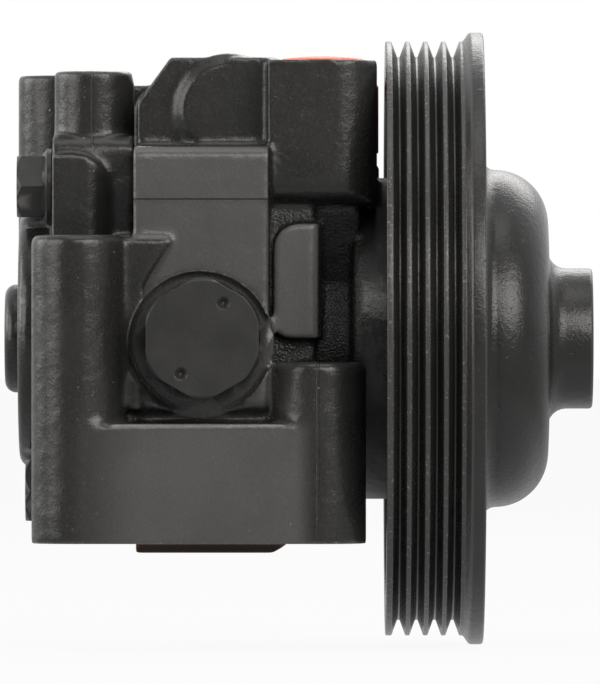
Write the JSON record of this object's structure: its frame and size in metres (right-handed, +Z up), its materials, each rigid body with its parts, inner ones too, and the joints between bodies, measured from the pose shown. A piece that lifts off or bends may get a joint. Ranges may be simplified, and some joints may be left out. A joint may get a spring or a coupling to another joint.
{
  "type": "power steering pump",
  "caption": "Belt-driven vane pump for power steering: cast body with mounting bosses and a hex valve plug, rear cover, and a ribbed pulley with a domed hub.",
  "frame": {"origin": "on the shaft's axis, in the middle plane of the belt", "axes": "+X along the shaft towards the pulley's hub, +Y away from the mounting foot, +Z up towards the outlet port"},
  "size_m": [0.1163, 0.1212, 0.1212],
  "materials": {
    "casting_paint": "satin",
    "pulley_paint": "satin",
    "fastener_paint": "satin",
    "seal_rubber": "matte",
    "bronze": "satin",
    "steel": "satin",
    "orange_plastic": "satin"
  },
  "bodies": {
    "housing": {"main_body": "casting_paint", "rear_cover": "casting_paint", "rear_cap": "casting_paint", "cover_bolts": "fastener_paint", "cover_seal": "seal_rubber", "cam_ring": "steel", "pressure_plate": "steel", "plate_seals": "seal_rubber", "dowel_pins": "steel", "rear_bush": "bronze", "bearing_outer_ring": "steel", "bearing_shields": "seal_rubber", "bearing_clip": "steel", "shaft_seal": "seal_rubber", "seal_spring": "steel", "valve_plug": "fastener_paint", "plug_seal": "seal_rubber", "valve_spring": "steel", "outlet_seat": "bronze", "outlet_plug": "orange_plastic", "inlet_tube": "steel", "inlet_cap": "orange_plastic"},
    "rotating_group": {"pulley": "pulley_paint", "drive_shaft": "steel", "rotor": "steel", "vanes": "steel", "rotor_clip": "steel", "bearing_inner_ring": "steel"},
    "cage_and_balls": {"bearing_balls": "steel", "bearing_cage": "bronze"},
    "spool": {"valve_spool": "steel"}
  },
  "joints": [
    {"name": "pulley_spin", "type": "hinge", "parent": "housing", "child": "rotating_group", "pos_m": [0, 0, 0], "axis": [1, 0, 0], "continuous": true},
    {"name": "cage_orbit", "type": "hinge", "parent": "housing", "child": "cage_and_balls", "pos_m": [-0.003, 0, 0], "axis": [1, 0, 0], "continuous": true},
    {"name": "spool_slide", "type": "slide", "parent": "housing", "child": "spool", "axis": [0, -1, 0], "range_m": [0, 0.0032], "stiffness_N_per_m": 6000, "springref_m": -0.002, "deforming": ["valve_spring"]}
  ],
  "couplings": [
    {"joint": "cage_orbit", "follows": "pulley_spin", "ratio": 0.3816}
  ]
}
